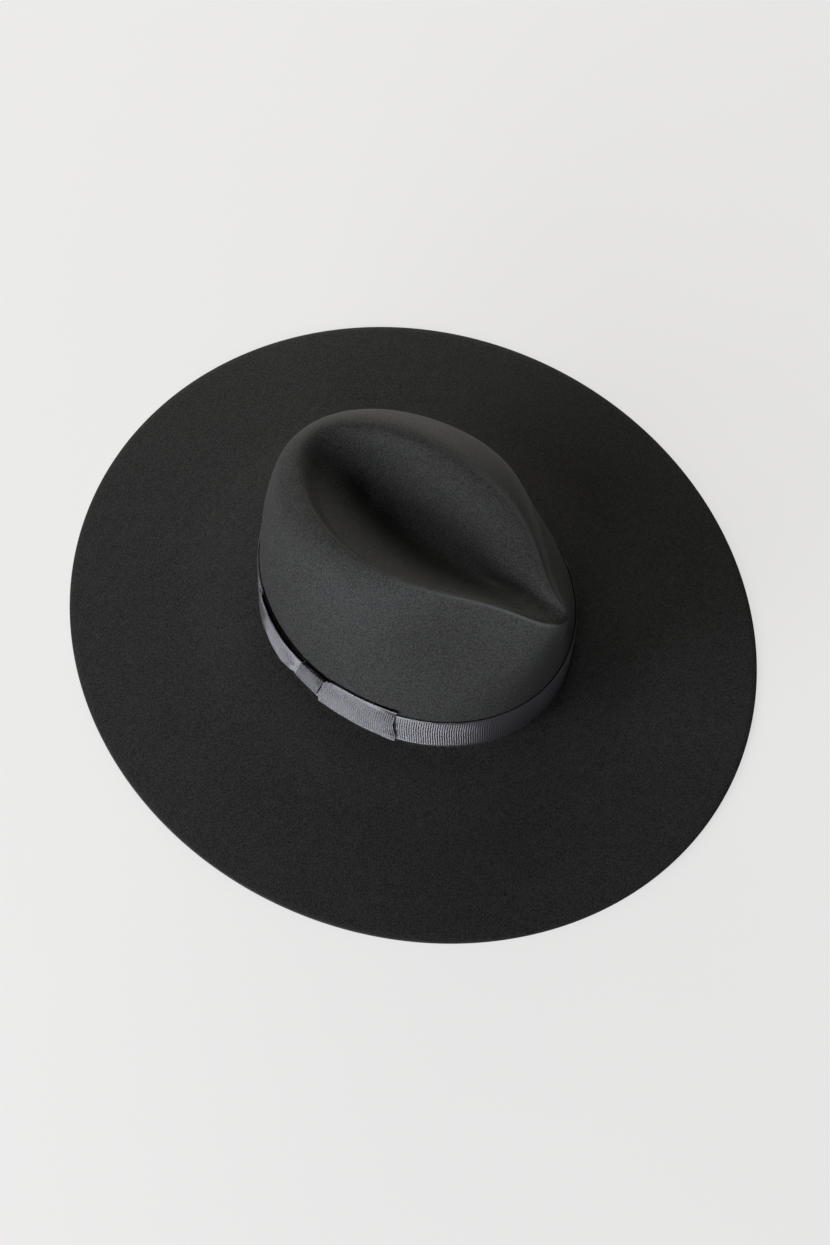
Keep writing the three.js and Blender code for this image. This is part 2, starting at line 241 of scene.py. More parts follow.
def beside_band(turn, up, proud):
    """Points that stand proud of the crown's wall, up from the band's lower edge."""
    up = np.asarray(up, float)
    shoulder = CROWN_RINGS[SHOULDER_SPAN]["height"][0] - BAND_TOP
    span = np.where(up < BAND_WIDTH, up / BAND_WIDTH, 1 + (up - BAND_WIDTH) / shoulder)
    small = 0.01
    point = crown_points(turn, span)
    across = crown_points(turn + small, span) - crown_points(turn - small, span)
    upward = crown_points(turn, span + small) - crown_points(turn, span - small)
    return point + unit(np.cross(across, upward)) * np.asarray(proud, float)[..., None]


def arc_table():
    """Angle from the front and distance along the crown's foot, from the bow's middle, as two lists."""
    turn = np.radians(BOW_ANGLE) - np.linspace(-math.pi, math.pi, 7201)
    side, front, _ = CROWN_RINGS[0]["reach"]
    pace = np.hypot(side * np.cos(turn), front * np.sin(turn))
    step = (pace[1:] + pace[:-1]) / 2 * np.abs(np.diff(turn))
    along = np.concatenate([[0], np.cumsum(step)])
    return turn, along - along[len(along) // 2]


ARC_TURN, ARC_ALONG = arc_table()


def turn_at(along):
    """Angle from the front at distances along the crown's foot from the bow's middle."""
    return np.interp(along, ARC_ALONG, ARC_TURN)


def bow_section(along):
    """The bow ribbon's edges and stand-off at distances along the band."""
    places = np.array([row["along"] for row in BOW_SECTIONS], float)
    after = np.clip(np.searchsorted(places, along), 1, len(places) - 1)
    share = smooth_step(places[after - 1], places[after], along)
    section = {}
    for column in ("low", "high", "proud_low", "proud_high"):
        values = np.array([row[column] for row in BOW_SECTIONS], float)
        section[column] = lerp(values[after - 1], values[after], share)
    return section


# ---------------------------------------------------------------- meshes


def grid_faces(columns, rows, wrap_rows=False):
    """Four-sided faces of a grid of points that is closed on itself and stored column by column."""
    row_count = rows if wrap_rows else rows - 1
    i, j = np.meshgrid(np.arange(columns), np.arange(row_count), indexing="ij")
    next_i, next_j = (i + 1) % columns, (j + 1) % rows
    corners = [i * rows + j, next_i * rows + j, next_i * rows + next_j, i * rows + next_j]
    return np.stack(corners, axis=-1).reshape(-1, 4)


def make_object(name, points, faces, material=None):
    """A smooth-shaded object in metres from points in millimetres and faces that face outwards."""
    mesh = bpy.data.meshes.new(name)
    mesh.from_pydata((np.asarray(points) * MM).tolist(), [], np.asarray(faces).tolist())
    mesh.validate()
    mesh.shade_smooth()
    if material:
        mesh.materials.append(material)
    piece = bpy.data.objects.new(name, mesh)
    bpy.context.scene.collection.objects.link(piece)
    return piece


def point_values(piece, name, values):
    """Stores one number at each point of a piece under a name."""
    layer = piece.data.attributes.new(name, "FLOAT", "POINT")
    layer.data.foreach_set("value", np.asarray(values, np.float32).ravel())


def face_normals_to_points(points, faces):
    """The mean direction of the faces round each point."""
    a, b, c, d = (points[faces[:, k]] for k in range(4))
    facing = np.cross(c - a, d - b)
    total = np.zeros_like(points)
    for k in range(4):
        np.add.at(total, faces[:, k], facing)
    return unit(total)


# ---------------------------------------------------------------- node trees


class Wire:
    """One output in a node tree. Arithmetic on it adds Math nodes."""

    def __init__(self, bench, socket):
        self.bench = bench
        self.socket = socket

    def maths(self, operation, *values):
        inputs = dict(enumerate(values))
        return self.bench.node("ShaderNodeMath", dict(operation=operation), inputs)

    def __add__(self, other):
        return self.maths("ADD", self, other)

    __radd__ = __add__

    def __sub__(self, other):
        return self.maths("SUBTRACT", self, other)

    def __rsub__(self, other):
        return self.maths("SUBTRACT", other, self)

    def __mul__(self, other):
        return self.maths("MULTIPLY", self, other)

    __rmul__ = __mul__

    def __truediv__(self, other):
        return self.maths("DIVIDE", self, other)

    def __rtruediv__(self, other):
        return self.maths("DIVIDE", other, self)

    def __pow__(self, other):
        return self.maths("POWER", self, other)

    def cosine(self):
        return self.maths("COSINE", self)

    def clipped(self):
        return self.maths("MINIMUM", self.maths("MAXIMUM", self, 0.0), 1.0)


class Bench:
    """A node tree with one method that adds a node, sets it up and wires it."""

    def __init__(self, tree):
        self.tree = tree

    def node(self, kind, settings=None, inputs=None, output=0):
        node = self.tree.nodes.new(kind)
        for setting, value in (settings or {}).items():
            setattr(node, setting, value)
        for name, value in (inputs or {}).items():
            if isinstance(value, Wire):
                self.tree.links.new(value.socket, node.inputs[name])
            else:
                node.inputs[name].default_value = value
        return Wire(self, node.outputs[output]) if node.outputs else None


def opaque(colour):
    return (*colour, 1.0)


def new_finish(name):
    """A material with an empty tree, the bench to build it on, and places on the piece in millimetres."""
    material = bpy.data.materials.new(name)
    material.use_nodes = True
    material.node_tree.nodes.clear()
    bench = Bench(material.node_tree)
    place = bench.node("ShaderNodeTexCoord", output="Object")
    return material, bench, scaled(bench, place, 1 / MM)


def scaled(bench, vector, factor):
    return bench.node("ShaderNodeVectorMath", dict(operation="SCALE"), dict(Vector=vector, Scale=factor))


def noise(bench, place, size, detail=2.0, roughness=0.5):
    """A soft random cloud of a feature size in millimetres."""
    inputs = dict(Vector=place, Scale=1 / size, Detail=detail, Roughness=roughness)
    return bench.node("ShaderNodeTexNoise", dict(noise_dimensions="3D"), inputs)


def stored_value(bench, name):
    """A number that point_values stored on the piece."""
    return bench.node("ShaderNodeAttribute", dict(attribute_name=name), output="Fac")


def mix_colours(bench, share, first, second):
    return bench.node("ShaderNodeMix", dict(data_type="RGBA"), {0: share, 6: first, 7: second}, output=2)


def bumps(bench, height, strength, distance):
    return bench.node("ShaderNodeBump", None, dict(Strength=strength, Distance=distance, Height=height))


def finish_surface(bench, inputs):
    """Ends a material in a surface with these inputs."""
    shader = bench.node("ShaderNodeBsdfPrincipled", None, inputs)
    bench.node("ShaderNodeOutputMaterial", None, dict(Surface=shader))


def felt_finish(colours):
    """Matt wool felt: dark mottled fibres with a short nap, and a painted highlight along the creases."""
    material, bench, place = new_finish("wool_felt")
    clouds = noise(bench, place, 38, 3)
    mottle = noise(bench, place, 5, 3, 0.6)
    fibres = noise(bench, place, 0.9, 2, 0.7)
    specks = noise(bench, place, 0.55, 1, 0.6)
    light = clouds * 0.25 + mottle * 0.35 + fibres * 3.5 + specks * 2.1 - 2.6
    felt = mix_colours(bench, light.clipped(), opaque(colours.felt_dark), opaque(colours.felt_light))
    # Painted highlight: the felt is lightened towards a highlight colour along the crown's creases.
    crease_highlight = stored_value(bench, "crease_highlight")
    finish_surface(
        bench,
        {
            "Base Color": mix_colours(bench, crease_highlight * 0.6, felt, opaque(colours.felt_highlight)),
            "Roughness": 0.6,
            "Specular IOR Level": 0.06,
            "Sheen Weight": 0.02,
            "Sheen Roughness": 0.35,
            "Sheen Tint": opaque(colours.nap),
            "Normal": bumps(bench, fibres * 0.6 + mottle * 0.4, 0.6, 0.0003),
        },
    )
    return material


def ribbon_finish(name, colours, gloss_index):
    """Grosgrain ribbon: grey silky weave of random tone, with painted shade that darkens it between its ribs.

    Its threads lie round the hat, so they spread the gloss up and down but not sideways.
    """
    material, bench, place = new_finish(name)
    thread_spacing = 0.42
    threads = (stored_value(bench, "across") * (2 * math.pi / thread_spacing)).cosine() * 0.5 + 0.5
    fibres = noise(bench, place, 0.35, 1)
    clouds = noise(bench, place, 14)
    # Painted shade: the ribbon is darkened in the grooves between its ribs; the clouds and fibres are random tone.
    share = (fibres * 0.6 + clouds * 0.6 - 0.6 * stored_value(bench, "groove_shade") + 0.1).clipped()
    finish_surface(
        bench,
        {
            "Base Color": mix_colours(bench, share, opaque(colours.ribbon_dark_and_groove_shade), opaque(colours.ribbon_light)),
            "Roughness": 0.5,
            # Each copy of the ribbon has its own gloss, set apart as painted highlight and shade.
            "IOR": gloss_index,
            "Anisotropic": 1.0,
            "Anisotropic Rotation": 0.25,
            "Specular Tint": opaque(colours.ribbon_gloss),
            "Normal": bumps(bench, threads * 0.8 + fibres * 0.08, 1.0, 0.00002),
        },
    )
    return material


def band_finish(colours):
    """The band's ribbon, which is pulled taut. Its gloss is set highest, a painted highlight that brightens it."""
    return ribbon_finish("band_grosgrain", colours, 2.2)


def bow_finish(colours):
    """The bow's ribbon, which is folded. Its gloss is set lower than the band's, as painted shade."""
    return ribbon_finish("bow_grosgrain", colours, 1.81)


def knot_finish(colours):
    """The knot's ribbon, which runs up the hat. Its gloss is set lowest, as painted shade that darkens it most."""
    return ribbon_finish("knot_grosgrain", colours, 1.52)


def plain_finish(name, colour, roughness, glow=(0, 0, 0)):
    """One colour with a faint cloud in it."""
    material, bench, place = new_finish(name)
    cloud = noise(bench, place, 120)
    darker = [0.985 * c for c in colour]
    finish_surface(
        bench,
        {
            "Base Color": mix_colours(bench, cloud, opaque(darker), opaque(colour)),
            "Roughness": roughness,
            "Specular IOR Level": 0.0,
            "Emission Color": opaque(glow),
            "Emission Strength": 1.0 if any(glow) else 0.0,
        },
    )
    return material


def thread_finish(colours):
    """The thread of the stitches."""
    return plain_finish("thread", colours.thread, 0.7)


def floor_finish(colours):
    """A pale photographer's table that is lit from inside, so shadows on it are faint."""
    return plain_finish("pale_floor", colours.floor, 0.6, colours.floor_glow)


FINISHES = {}


def finish(make, colours):
    """A finish of the hat, made once and shared by its pieces."""
    name = make.__name__
    if name not in FINISHES:
        FINISHES[name] = make(colours)
    return FINISHES[name]


def new_tree(name, sizes):
    """A geometry tree with named inputs, as a bench, with a wire from the geometry and from each input."""
    tree = bpy.data.node_groups.new(name, "GeometryNodeTree")
    tree.interface.new_socket("Geometry", in_out="INPUT", socket_type="NodeSocketGeometry")
    for label, value in sizes.items():
        socket = tree.interface.new_socket(label, in_out="INPUT", socket_type="NodeSocketFloat")
        socket.default_value = value
    tree.interface.new_socket("Material", in_out="INPUT", socket_type="NodeSocketMaterial")
    tree.interface.new_socket("Geometry", in_out="OUTPUT", socket_type="NodeSocketGeometry")
    bench = Bench(tree)
    given = tree.nodes.new("NodeGroupInput")
    return bench, [Wire(bench, given.outputs[k]) for k in range(len(sizes) + 2)]


def end_tree(bench, shape, material):
    """Ends a geometry tree in real faces of one material."""
    real = bench.node("GeometryNodeRealizeInstances", None, dict(Geometry=shape))
    dressed = bench.node("GeometryNodeSetMaterial", None, dict(Geometry=real, Material=material))
    bench.node("NodeGroupOutput", None, dict(Geometry=dressed))
    return bench.tree


def rib_tree():
    """Presses evenly spaced grooves into a ribbon, across its length, and stores their depth for painted shade."""
    sizes = {"Rib spacing": 1.35, "Rib depth": 0.0002}
    bench, (ribbon, spacing, depth, material) = new_tree("ribs across a ribbon", sizes)
    named = dict(data_type="FLOAT")
    along = bench.node("GeometryNodeInputNamedAttribute", named, dict(Name="along"))
    ribbed = bench.node("GeometryNodeInputNamedAttribute", named, dict(Name="ribbed"))
    groove = (along / spacing * (2 * math.pi)).cosine() * -0.5 + 0.5
    groove = groove**1.5 * ribbed
    inward = scaled(bench, bench.node("GeometryNodeInputNormal"), groove * depth * -1)
    # The grooves' depth is kept for the finish, which paints shade into the grooves.
    noted = bench.node(
        "GeometryNodeStoreNamedAttribute",
        dict(data_type="FLOAT", domain="POINT"),
        dict(Geometry=ribbon, Name="groove_shade", Value=groove),
    )
    moved = bench.node("GeometryNodeSetPosition", None, dict(Geometry=noted, Offset=inward))
    return end_tree(bench, moved, material)


def stitch_tree():
    """Lays short thread stitches along a path."""
    sizes = {"Stitch spacing": 0.004, "Stitch length": 0.0018, "Thread thickness": 0.0005}
    bench, (path, spacing, length, thickness, material) = new_tree("stitches along a path", sizes)
    spaced = bench.node("GeometryNodeResampleCurve", dict(mode="LENGTH"), dict(Curve=path, Length=spacing))
    ball = bench.node("GeometryNodeMeshUVSphere", None, dict(Segments=10, Rings=7, Radius=0.5))
    smooth = bench.node("GeometryNodeSetShadeSmooth", None, dict(Geometry=ball))
    tangent = bench.node("GeometryNodeInputTangent")
    turned = bench.node("FunctionNodeAlignRotationToVector", dict(axis="X"), dict(Vector=tangent))
    size = bench.node("ShaderNodeCombineXYZ", None, dict(X=length, Y=thickness, Z=thickness))
    laid = bench.node(
        "GeometryNodeInstanceOnPoints", None, dict(Points=spaced, Instance=smooth, Rotation=turned, Scale=size)
    )
    return end_tree(bench, laid, material)


def run_tree(source, make_tree, inputs, name):
    """Runs a geometry tree on an object and puts a plain mesh with the result in its place."""
    modifier = source.modifiers.new(name, "NODES")
    modifier.node_group = make_tree()
    for item in modifier.node_group.interface.items_tree:
        if item.in_out == "INPUT" and item.name in inputs:
            modifier[item.identifier] = inputs[item.name]
    bpy.context.view_layer.update()
    graph = bpy.context.evaluated_depsgraph_get()
    mesh = bpy.data.meshes.new_from_object(source.evaluated_get(graph), depsgraph=graph)
    source.modifiers.remove(modifier)
    bpy.data.objects.remove(source)
    if not mesh.polygons:
        raise RuntimeError(f"{name}: the node tree made no faces")
    mesh.name = name
    mesh.polygons.foreach_set("material_index", [0] * len(mesh.polygons))
    mesh.materials.clear()
    mesh.materials.append(inputs["Material"])
    piece = bpy.data.objects.new(name, mesh)
    bpy.context.scene.collection.objects.link(piece)
    return piece


# ---------------------------------------------------------------- felt


def brim_and_break(turn, thickness):
    """The felt's outer face from the brim's edge, over the bend, to the foot of the wall."""
    egg = 1 - BRIM_EGG * np.cos(turn)
    half_width = BRIM_HALF_WIDTH - thickness / 2
    half_length = BRIM_HALF_LENGTH - thickness / 2
    edge = np.stack([half_width * np.sin(turn) * egg, -half_length * np.cos(turn), 0 * turn], axis=-1)
    foot = ring_points(CROWN_RINGS[0], turn)
    outward = unit(foot * (1, 1, 0))
    bend_edge = foot + outward * BREAK_RADIUS
    rows = []
    for share in np.linspace(0, 1, BRIM_ROWS):
        eased = np.clip((share - BRIM_FLAT_SHARE) / (1 - BRIM_FLAT_SHARE), 0, 1)
        rise = BRIM_RISE * eased**3 * (eased * (eased * 6 - 15) + 10)
        row = lerp(edge, bend_edge, share)
        row[:, 2] = thickness + rise
        rows.append(row)
    for bend in bend_steps(0, math.pi / 2):
        row = foot + outward * BREAK_RADIUS * (1 - math.sin(bend))
        row[:, 2] = FOOT_HEIGHT - BREAK_RADIUS * math.cos(bend)
        rows.append(row)
    return rows


def soften_dent_ends(face, first):
    """Evens the felt out round the two ends of the dent's valley, where all its rows run together."""
    count = face.shape[0]
    twin = (-np.arange(count)) % count
    ends = [face[0, -1].copy(), face[count // 2, -1].copy()]
    for _ in range(DENT_ENDS["rounds"]):
        up = np.concatenate([face[:, 1:], face[twin, -2][:, None]], axis=1)
        down = np.concatenate([face[:, :1], face[:, :-1]], axis=1)
        mean = (up + down + np.roll(face, 1, axis=0) + np.roll(face, -1, axis=0)) / 4
        away = np.min([np.linalg.norm(face - end, axis=-1) for end in ends], axis=0)
        share = DENT_ENDS["share"] * np.exp(-((away / DENT_ENDS["reach"]) ** 2))[..., None]
        share[:, :first] = 0
        face = lerp(face, mean, share)
        face[:, -1] = (face[:, -1] + face[twin, -1]) / 2
    return face


def felt_face(thickness):
    """The felt's outer face as a grid of points, and the painted crease highlight at each, from 0 to 1."""
    turn = np.linspace(-math.pi, math.pi, FELT_COLUMNS, endpoint=False)
    rows = brim_and_break(turn, thickness)
    crown_begins = len(rows)
    spans = np.concatenate([
        np.linspace(part["first"], part["last"], part["rows"], endpoint=part["last"] == VALLEY_SPAN)
        for part in CROWN_ROWS
    ])
    rows += [crown_points(turn, span) for span in spans]
    face = np.stack(rows, axis=1)
    ridge_row = crown_begins + int(np.searchsorted(spans, RIDGE_SPAN))
    ridge = face[:, ridge_row : ridge_row + 1]
    from_ridge = np.linalg.norm(face - ridge, axis=-1)
    around = np.degrees(np.abs(turn))[:, None]
    sharp = smooth_step(*CREASE["begins"], around) * (1 - smooth_step(*CREASE["ends"], around))
    rounded = np.hypot(from_ridge, CREASE["rounding"]) - CREASE["rounding"]
    lift = CREASE["lift"] * sharp * np.exp(-rounded / CREASE["reach"])
    lift[:, :crown_begins] = 0
    # Painted highlight: strongest on top of each crease and fading within a narrow strip.
    crease_highlight = sharp * np.exp(-((from_ridge / CREASE["highlight"]) ** 2))
    upward = unit(unit(ridge * (1, 1, 0)) * CREASE["lean"] + (0, 0, 1))
    return soften_dent_ends(face + lift[..., None] * upward, ridge_row), crease_highlight


def felt_mesh(thickness):
    """Points and faces of crown and brim as one closed wall, and the painted crease highlight at each point."""
    face, crease_highlight = felt_face(thickness)
    count, length = face.shape[:2]
    outer = face.reshape(-1, 3)
    total = len(outer)
    # A point of the valley and the one across from it are one.
    twin = np.arange(total)
    valley = np.arange(count) * length + length - 1
    twin[valley[count // 2 + 1 :]] = valley[1 : count // 2][::-1]
    outer_faces = twin[grid_faces(count, length)]
    inner = outer - face_normals_to_points(outer, outer_faces) * thickness
    edge, under = outer[::length], inner[::length]
    outward = unit(edge * (1, 1, 0))
    middle, half = (edge + under) / 2, (edge - under) / 2
    radius = np.linalg.norm(half, axis=-1, keepdims=True)
    roll = [middle + half * math.cos(a) + outward * radius * math.sin(a) for a in bend_steps(0, math.pi)]
    roll = np.stack(roll, axis=1)
    # The rolled edge's grid runs from the outer face's first row to the inner face's.
    place = np.zeros((count, roll.shape[1] + 2), int)
    place[:, 0] = np.arange(count) * length
    place[:, -1] = place[:, 0] + total
    place[:, 1:-1] = 2 * total + np.arange(roll.shape[0] * roll.shape[1]).reshape(count, -1)
    roll_faces = place.ravel()[grid_faces(*place.shape)[:, ::-1]]
    faces = np.concatenate([outer_faces, outer_faces[:, ::-1] + total, roll_faces])
    points = np.concatenate([outer, inner, roll.reshape(-1, 3)])
    highlight_points = np.zeros(len(points))
    highlight_points[:total] = crease_highlight.ravel()
    used, faces = np.unique(faces, return_inverse=True)
    return points[used], faces.reshape(-1, 4), highlight_points[used]


# ---------------------------------------------------------------- ribbon


def selvedge_rows(width):
    """Places across a ribbon: close together at both edges, and evenly spread between them."""
    edge = np.array(SELVEDGE)
    middle = np.linspace(edge[-1], width - edge[-1], 5)[1:-1]
    return np.concatenate([edge, middle, width - edge[::-1]])


def walked(path):
    """Distance along a path at each of its points."""
    return np.concatenate([[0], np.cumsum(np.linalg.norm(np.diff(path, axis=0), axis=-1))])


def ribbon_loop(front, thickness, along, name, across):
    """A closed loop of ribbon from the points of its front face, with soft edges and its weave measured out.

    front is a grid of points, one column for each place along the ribbon.
    """
    columns, rows = front.shape[:2]
    step = np.roll(front, -1, axis=0) - np.roll(front, 1, axis=0)
    rise = np.gradient(front, axis=1)
    back = front - unit(np.cross(step, rise)) * thickness
    low_edge = (front[:, :1] + back[:, :1]) / 2 - unit(rise[:, :1]) * thickness / 2
    high_edge = (front[:, -1:] + back[:, -1:]) / 2 + unit(rise[:, -1:]) * thickness / 2
    back_rows = np.linspace(0, rows - 1, 4).round().astype(int)[::-1]
    loop = np.concatenate([front, high_edge, back[:, back_rows], low_edge], axis=1)
    size = loop.shape[1]
    piece = make_object(name, loop.reshape(-1, 3), grid_faces(columns, size, wrap_rows=True))
    from_edge = np.minimum(across, across[-1] - across)
    ribs_begin, ribs_full = SELVEDGE[-2:]
    ribbed, measured = np.zeros((columns, size)), np.zeros((columns, size))
    ribbed[:, :rows] = np.clip((from_edge - ribs_begin) / (ribs_full - ribs_begin), 0, 1)
    measured[:, :rows] = across
    point_values(piece, "along", np.repeat(along, size))
    point_values(piece, "ribbed", ribbed)
    point_values(piece, "across", measured)
    return piece


def add_ribs(loop, scene, name, make_finish):
    """Turns a smooth loop of ribbon into a ribbed piece with a name and a finish."""
    inputs = {
        "Rib spacing": scene.hat_sizes.rib_spacing / MM,
        "Rib depth": scene.hat_sizes.rib_depth,
        "Material": finish(make_finish, scene.hat_colours),
    }
    return run_tree(loop, rib_tree, inputs, name)


def band_loop(sizes):
    """The band's ribbon round the foot of the crown, with a whole number of ribs."""
    thickness = sizes.ribbon_thickness / MM
    spacing = sizes.rib_spacing / MM
    length = ARC_ALONG[-1] - ARC_ALONG[0]
    columns = round(length / spacing) * POINTS_PER_RIB
    along = ARC_ALONG[0] + length * np.arange(columns) / columns
    across = selvedge_rows(BAND_WIDTH)
    front = beside_band(turn_at(along)[:, None], across[None, :], GAP + thickness)[::-1]
    return ribbon_loop(front, thickness, np.arange(columns) / POINTS_PER_RIB * spacing, "band_loop", across)


def leaning(along, up):
    """Distances along the band, moved by the knot's own shift and lean near the knot."""
    near = np.exp(-((along / KNOT_LEAN["reach"]) ** 2))
    return along + near * (KNOT_LEAN["shift"] + KNOT_LEAN["slope"] * (up - KNOT_LEAN["middle"]))


def bow_path(step):
    """The bow's ribbon as a flattened loop: distance along the band, and its share of the bow's depth."""
    radius = BOW_DEPTH / 2
    straight = BOW_SECTIONS[-1]["along"] - radius
    out = np.arange(-straight, straight, step)
    fold = bend_steps(-math.pi / 2, math.pi / 2)
    along = np.concatenate([out, straight + radius * np.cos(fold), -out, -straight - radius * np.cos(fold)])
    depth = np.concatenate([
        np.ones(len(out)), 0.5 - 0.5 * np.sin(fold), np.zeros(len(out)), 0.5 + 0.5 * np.sin(fold)
    ])
    return along, depth


def bow_front(along, up, share, depth, thickness):
    """How far the bow's ribbon stands off the felt, with depth 0 for its back layer and 1 for its front."""
    section = bow_section(along)
    front_wing = smooth_step(*FRONT_WING["along"], along)
    pressed = 1 - FRONT_WING["pressed"] * front_wing * smooth_step(*FRONT_WING["pressed_up"], up)
    over_band = lerp(section["proud_low"], section["proud_high"], share) + BOW_OVER_BAND
    towards_felt = FRONT_WING["lean"] * front_wing * smooth_step(*FRONT_WING["lean_up"], up)
    return over_band + depth * (BOW_DEPTH - thickness) * pressed + thickness - towards_felt


def bow_loop(sizes):
    """The bow's ribbon, folded flat, pleated where it goes under the knot and waved at its front end."""
    thickness = sizes.ribbon_thickness / MM * BOW_RIBBON_SHARE
    along, depth = (column[:, None] for column in bow_path(sizes.rib_spacing / MM / POINTS_PER_RIB))
    section = bow_section(along)
    across = selvedge_rows(BOW_WIDTH)
    share = across[None, :] / BOW_WIDTH
    drop = BACK_LAYER["drop"] * (1 - depth) * smooth_step(*BACK_LAYER["along"], along)
    low = section["low"] - drop * (along < BACK_LAYER["ends"])
    up = lerp(low, section["high"], share)
    past_knot = np.abs(along) - KNOT["half_length"]
    near_knot = np.exp(-((past_knot / PLEATS["reach"]) ** 2)) * (past_knot > -PLEATS["under_knot"])
    folds = np.cos(2 * math.pi * (PLEATS["count"] * share + PLEATS["start"])) - 1
    pleats = PLEATS["depth"] * near_knot * folds * depth
    ripple = RIPPLE["depth"] * np.sin(RIPPLE["pace"] * along) * np.sin(math.pi * share) * (depth - 0.5)
    proud = bow_front(along, up, share, depth, thickness) + pleats + ripple
    wave = -END_WAVE["size"] * np.sin(2 * math.pi * share) * smooth_step(*END_WAVE["along"], along)
    front = beside_band(turn_at(leaning(along, up) + wave), up, proud)[::-1]
    return ribbon_loop(front, thickness, walked(front[:, len(across) // 2]), "bow_loop", across)


def squared(wave):
    """A sine wave with flatter tops, which turns a circle into a square with round corners."""
    return np.sign(wave) * np.abs(wave) ** (2 / KNOT["squareness"])


def knot_loop(sizes):
    """The strip of ribbon that is wrapped round the bow's middle."""
    thickness = sizes.ribbon_thickness / MM * BOW_RIBBON_SHARE
    angle = np.linspace(0, 2 * math.pi, KNOT["columns"], endpoint=False)[:, None]
    tall = (KNOT["high"] - KNOT["low"]) / 2
    deep = BOW_DEPTH / 2 + KNOT["over_bow"]
    up = (KNOT["low"] + KNOT["high"]) / 2 + tall * squared(np.sin(angle))
    proud = KNOT["proud"] + BOW_DEPTH / 2 + deep * squared(np.cos(angle)) + BOW_OVER_BAND
    across = selvedge_rows(2 * KNOT["half_length"])
    along = across[None, :] - KNOT["half_length"]
    front = beside_band(turn_at(leaning(along, up)), up, proud)
    return ribbon_loop(front, thickness, walked(front[:, 0]), "knot_loop", across)


def stitch_path(sizes):
    """A curve with one short line for each stitch, on the bow's front."""
    curve = bpy.data.curves.new("stitch_path", "CURVE")
    curve.dimensions = "3D"
    along = np.array(STITCHES["along"])
    thickness = sizes.ribbon_thickness / MM * BOW_RIBBON_SHARE
    for up in STITCHES["up"]:
        proud = bow_front(along, up, up / BOW_SECTIONS[0]["high"], 1, thickness) + STITCHES["proud"]
        spline = curve.splines.new("POLY")
        spline.points.add(len(along) - 1)
        for point, place in zip(spline.points, beside_band(turn_at(along), up, proud)):
            point.co = (*(place * MM), 1)
    path = bpy.data.objects.new("stitch_path", curve)
    bpy.context.scene.collection.objects.link(path)
    return path


# ---------------------------------------------------------------- stage

# The camera as it stood: distance to where it looks on the floor, its tilt from straight down,
# the hat's turn and the camera's roll in degrees, and how far that point is from the hat's middle.
# focal and long_side are its lens and the picture's long side in the same pixels.
CAMERA = dict(distance=783, tilt=24.6, turn=35.3, roll=5.42, off=(-1.3, 11.8), focal=1300, long_side=1245)
SENSOR = 36

# Soft lights: the direction that they come from, as a bearing counted from the picture's right and an
# angle above the floor, and how strong they are.
DAYLIGHT = (0.95, 0.97, 1.0)
WALL_LIGHT = (1.0, 0.975, 0.90)
LIGHTS = (
    dict(name="window_left", bearing=217, above=10, power=82, colour=DAYLIGHT),
    dict(name="window_front", bearing=252, above=10, power=97, colour=DAYLIGHT),
    dict(name="window_high", bearing=205, above=30, power=42, colour=DAYLIGHT),
    dict(name="wall_back", bearing=90, above=10, power=63, colour=WALL_LIGHT),
    dict(name="wall_back_left", bearing=120, above=10, power=43, colour=WALL_LIGHT),
    dict(name="ceiling_back", bearing=135, above=30, power=14, colour=WALL_LIGHT),
)
LIGHT_AWAY = 2600
LIGHT_SIZE = 1500

# The room beyond the floor is a pale wall to the camera, and the lamps above stand for its light.
ROOM = dict(colour=(1.0, 0.995, 0.985), strength=0.01, seen_strength=0.8)
FLOOR_REACH = 6000
FLOOR_DROP = 0.2


def picture_to_hat(vector):
    """Turns a direction from the floor's axes, right and away from the camera, to the hat's own."""
    turn = math.radians(CAMERA["turn"])
    front = Vector((math.cos(turn), -math.sin(turn), 0))
    left = Vector((math.sin(turn), math.cos(turn), 0))
    flat = Vector((vector[0], vector[1], 0))
    return Vector((flat.dot(left), -flat.dot(front), vector[2]))


def place_camera(scene):
    tilt, roll = math.radians(CAMERA["tilt"]), math.radians(CAMERA["roll"])
    distance = CAMERA["distance"]
    off = CAMERA["off"]
    spot = picture_to_hat((-off[0], -math.sin(tilt) * distance - off[1], math.cos(tilt) * distance))
    level = Vector((1, 0, 0))
    upright = Vector((0, math.cos(tilt), math.sin(tilt)))
    right = picture_to_hat(level * math.cos(roll) + upright * math.sin(roll))
    up = picture_to_hat(upright * math.cos(roll) - level * math.sin(roll))
    camera = bpy.data.objects.new("camera", bpy.data.cameras.new("camera"))
    camera.data.sensor_width = SENSOR
    camera.data.lens = CAMERA["focal"] * SENSOR / CAMERA["long_side"]
    camera.data.clip_end = 50
    turned = Matrix((right, up, right.cross(up))).transposed()
    camera.matrix_world = Matrix.Translation(spot * MM) @ turned.to_4x4()
    scene.collection.objects.link(camera)
    scene.camera = camera


def place_light(scene, row):
    bearing, above = math.radians(row["bearing"]), math.radians(row["above"])
    flat = math.cos(above)
    toward = picture_to_hat((math.cos(bearing) * flat, math.sin(bearing) * flat, math.sin(above)))
    lamp = bpy.data.lights.new(row["name"], "AREA")
    lamp.shape = "DISK"
    lamp.size = LIGHT_SIZE * MM
    lamp.energy = row["power"]
    lamp.color = row["colour"]
    holder = bpy.data.objects.new(row["name"], lamp)
    holder.location = toward * LIGHT_AWAY * MM
    holder.rotation_mode = "QUATERNION"
    holder.rotation_quaternion = toward.to_track_quat("Z", "Y")
    scene.collection.objects.link(holder)


def make_room(scene):
    world = bpy.data.worlds.new("studio")
    scene.world = world
    world.use_nodes = True
    bench = Bench(world.node_tree)
    seen = bench.node("ShaderNodeLightPath", output="Is Camera Ray")
    strength = seen * (ROOM["seen_strength"] - ROOM["strength"]) + ROOM["strength"]
    background = world.node_tree.nodes["Background"]
    background.inputs["Color"].default_value = opaque(ROOM["colour"])
    world.node_tree.links.new(strength.socket, background.inputs["Strength"])


# ---------------------------------------------------------------- the add-on


